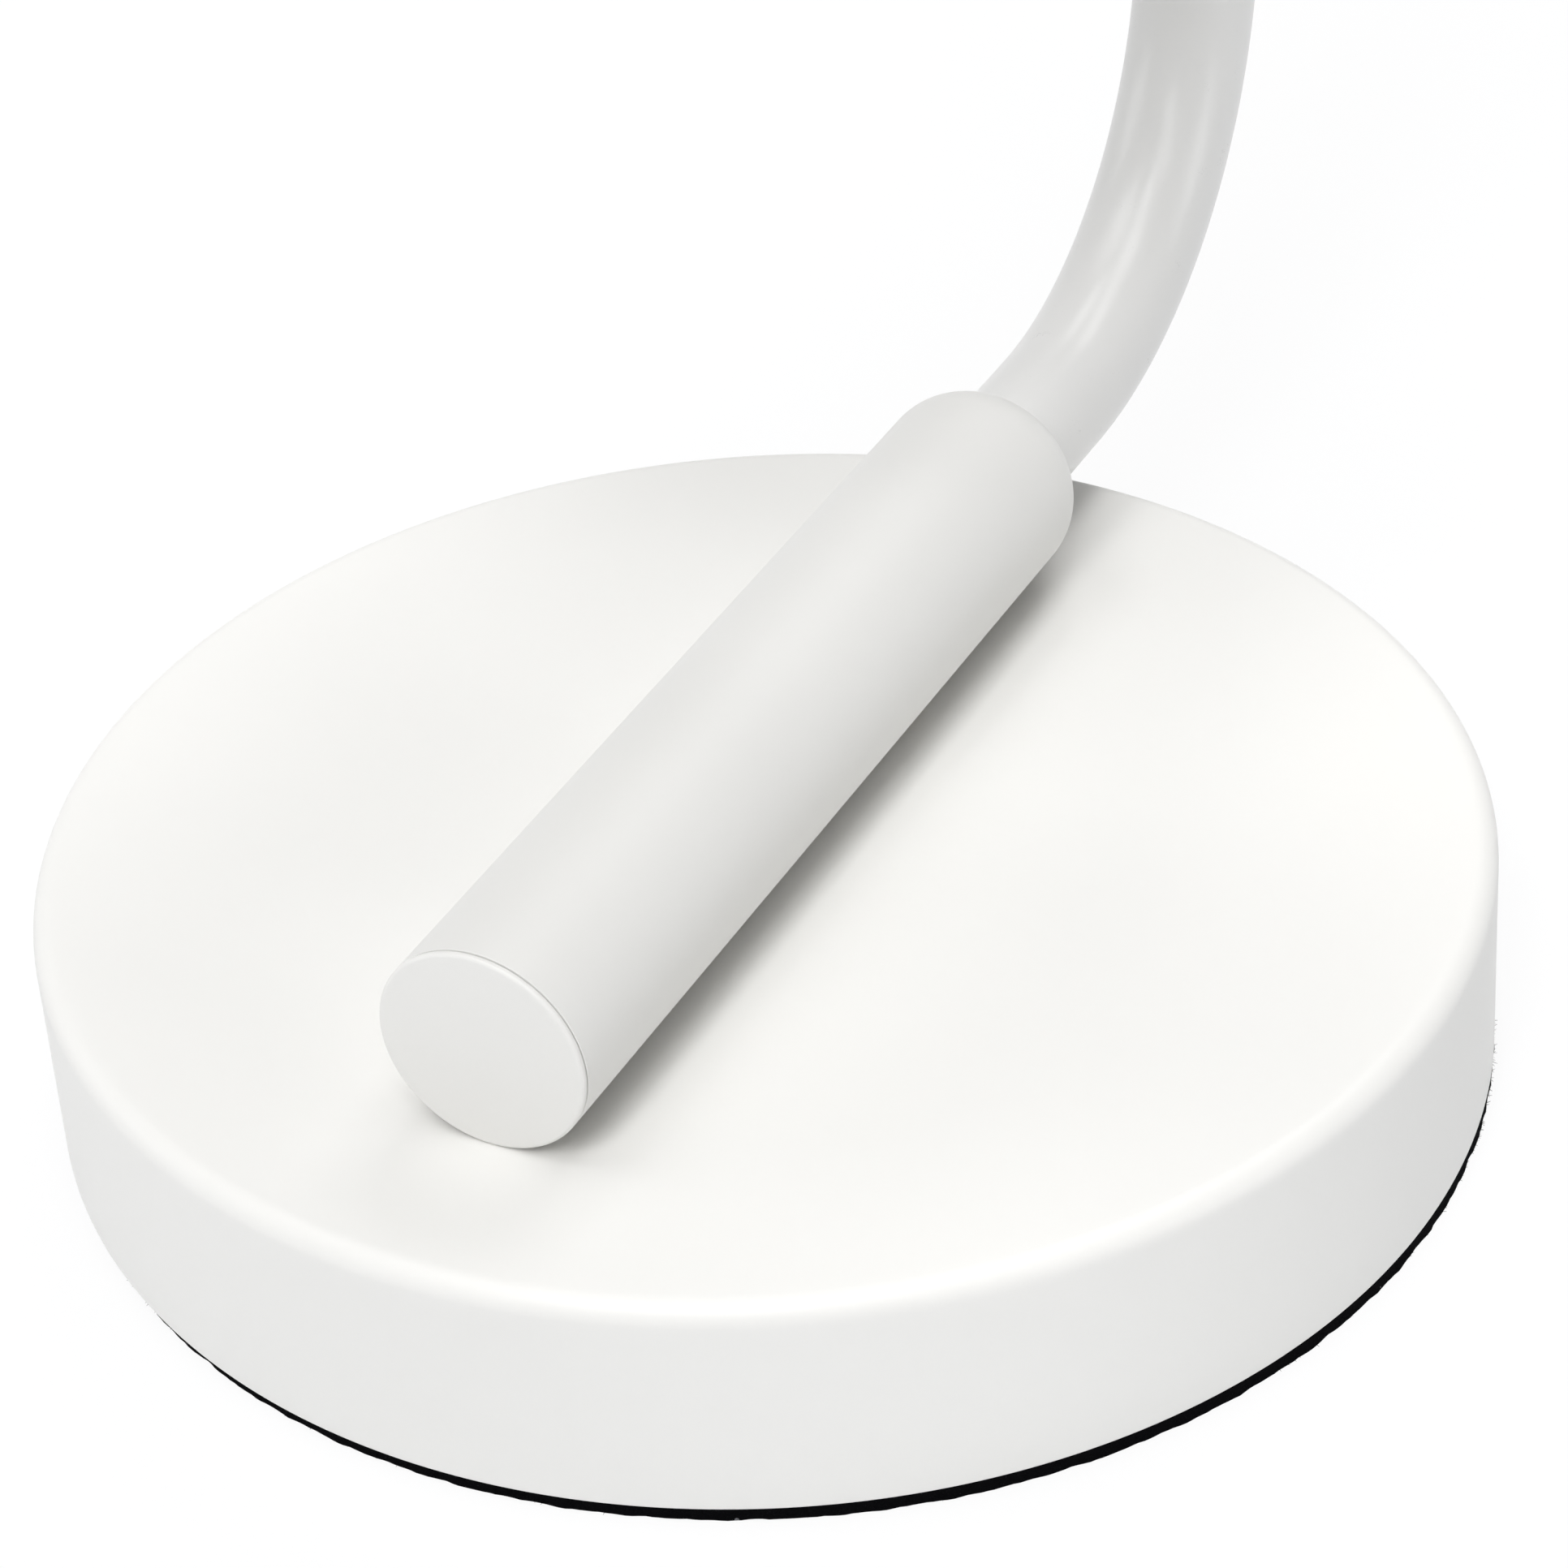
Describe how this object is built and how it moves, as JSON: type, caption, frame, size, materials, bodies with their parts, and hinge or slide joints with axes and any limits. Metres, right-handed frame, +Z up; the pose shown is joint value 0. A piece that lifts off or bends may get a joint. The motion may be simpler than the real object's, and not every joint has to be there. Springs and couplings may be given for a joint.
{
  "type": "gooseneck desk lamp",
  "caption": "Desk lamp with a heavy round base, a flush push switch at the end of a barrel lying on it, a bendable neck and a flared shade over a screw-in bulb.",
  "frame": {"origin": "middle of the base's underside, on the desk", "axes": "+Z up, -Y towards the switch cap, +Y towards the cord inlet and the foot of the neck, +X to the right of the switch"},
  "size_m": [0.19, 0.2557, 0.3911],
  "materials": {
    "white_coat": "fine matte powder coat",
    "neck_sleeve": "smooth satin sleeve",
    "core_steel": "coiled strip, oiled",
    "pad_felt": "pressed felt",
    "zinc_plate": "zinc plated sheet",
    "zinc_screw": "bright zinc",
    "turned_steel": "turned, fine marks",
    "spring_steel": "blued spring steel",
    "cast_ballast": "rough casting, dark primer",
    "brass": "turned brass",
    "grommet_rubber": "matte",
    "terminal_nylon": "moulded nylon",
    "guide_nylon": "moulded nylon",
    "switch_body": "moulded, semi-gloss",
    "lead_jacket": "smooth cable jacket",
    "holder_plastic": "moulded thermoplastic",
    "bulb_metal": "rolled thread shell",
    "opal_glass": "opal, frosted"
  },
  "bodies": {
    "base": {"base_pad": "pad_felt", "bottom_plate": "zinc_plate", "plate_screws": "zinc_screw", "base_cover": "white_coat", "ballast": "cast_ballast", "cord_grommet": "grommet_rubber", "terminal_block": "terminal_nylon", "barrel": "white_coat", "nut_bar": "zinc_plate", "barrel_screws": "zinc_screw", "barrel_washers": "zinc_screw", "wire_nipple": "brass", "nipple_nut": "brass", "switch_guide": "guide_nylon", "push_switch": "switch_body", "neck_lead": "lead_jacket", "switch_lead": "lead_jacket", "barrel_plug": "turned_steel", "lower_ferrule": "turned_steel", "lower_lock_nut": "zinc_screw", "neck_core_0": "core_steel", "neck_sleeve_0": "neck_sleeve"},
    "switch": {"switch_cap": "white_coat", "cap_clip": "spring_steel", "switch_plunger": "switch_body"},
    "neck_1": {"neck_core_1": "core_steel", "neck_sleeve_1": "neck_sleeve"},
    "neck_2": {"neck_core_2": "core_steel", "neck_sleeve_2": "neck_sleeve"},
    "neck_3": {"neck_core_3": "core_steel", "neck_sleeve_3": "neck_sleeve"},
    "neck_4": {"neck_core_4": "core_steel", "neck_sleeve_4": "neck_sleeve"},
    "neck_5": {"neck_core_5": "core_steel", "neck_sleeve_5": "neck_sleeve"},
    "neck_6": {"neck_core_6": "core_steel", "neck_sleeve_6": "neck_sleeve"},
    "neck_7": {"neck_core_7": "core_steel", "neck_sleeve_7": "neck_sleeve"},
    "neck_8": {"neck_core_8": "core_steel", "neck_sleeve_8": "neck_sleeve"},
    "neck_9": {"neck_core_9": "core_steel", "neck_sleeve_9": "neck_sleeve"},
    "neck_10": {"neck_core_10": "core_steel", "neck_sleeve_10": "neck_sleeve"},
    "neck_11": {"neck_core_11": "core_steel", "neck_sleeve_11": "neck_sleeve"},
    "head": {"neck_core_12": "core_steel", "neck_sleeve_12": "neck_sleeve", "head_housing": "white_coat", "head_plug": "turned_steel", "upper_ferrule": "turned_steel", "upper_lock_nut": "zinc_screw", "lampholder": "holder_plastic", "holder_contact": "brass", "shade": "white_coat", "shade_ring": "holder_plastic", "bulb_cap": "bulb_metal", "bulb_globe": "opal_glass"}
  },
  "joints": [
    {"name": "bend_1", "type": "hinge", "parent": "base", "child": "neck_1", "pos_m": [0, 0.09428, 0.04734], "axis": [1, 0, 0], "range_deg": [-15, 5]},
    {"name": "lean_2", "type": "hinge", "parent": "neck_1", "child": "neck_2", "pos_m": [0, 0.12031, 0.05634], "axis": [0, -0.5603, 0.8283], "range_deg": [-20, 20]},
    {"name": "bend_3", "type": "hinge", "parent": "neck_2", "child": "neck_3", "pos_m": [0, 0.13835, 0.07714], "axis": [1, 0, 0], "range_deg": [-20, 5]},
    {"name": "bend_4", "type": "hinge", "parent": "neck_3", "child": "neck_4", "pos_m": [0, 0.1437, 0.10419], "axis": [1, 0, 0], "range_deg": [-20, 12]},
    {"name": "lean_5", "type": "hinge", "parent": "neck_4", "child": "neck_5", "pos_m": [0, 0.1437, 0.15919], "axis": [0, -1, 0], "range_deg": [-20, 20]},
    {"name": "bend_6", "type": "hinge", "parent": "neck_5", "child": "neck_6", "pos_m": [0, 0.1437, 0.21419], "axis": [1, 0, 0], "range_deg": [-20, 12]},
    {"name": "lean_7", "type": "hinge", "parent": "neck_6", "child": "neck_7", "pos_m": [0, 0.1437, 0.26919], "axis": [0, -1, 0], "range_deg": [-20, 20]},
    {"name": "bend_8", "type": "hinge", "parent": "neck_7", "child": "neck_8", "pos_m": [0, 0.14358, 0.32418], "axis": [1, 0, 0], "range_deg": [-20, 12]},
    {"name": "bend_9", "type": "hinge", "parent": "neck_8", "child": "neck_9", "pos_m": [0, 0.12849, 0.36107], "axis": [1, 0, 0], "range_deg": [-20, 5]},
    {"name": "lean_10", "type": "hinge", "parent": "neck_9", "child": "neck_10", "pos_m": [0, 0.09406, 0.38116], "axis": [0, -0.1994, -0.9799], "range_deg": [-20, 20]},
    {"name": "bend_11", "type": "hinge", "parent": "neck_10", "child": "neck_11", "pos_m": [0, 0.05452, 0.37613], "axis": [1, 0, 0], "range_deg": [-20, 5]},
    {"name": "bend_12", "type": "hinge", "parent": "neck_11", "child": "head", "pos_m": [0, 0.02611, 0.34812], "axis": [1, 0, 0], "range_deg": [-20, 12]},
    {"name": "switch_press", "type": "slide", "parent": "base", "child": "switch", "axis": [0, 1, 0], "range_m": [0, 0.0002], "stiffness_N_per_m": 2000, "springref_m": -0.001}
  ]
}
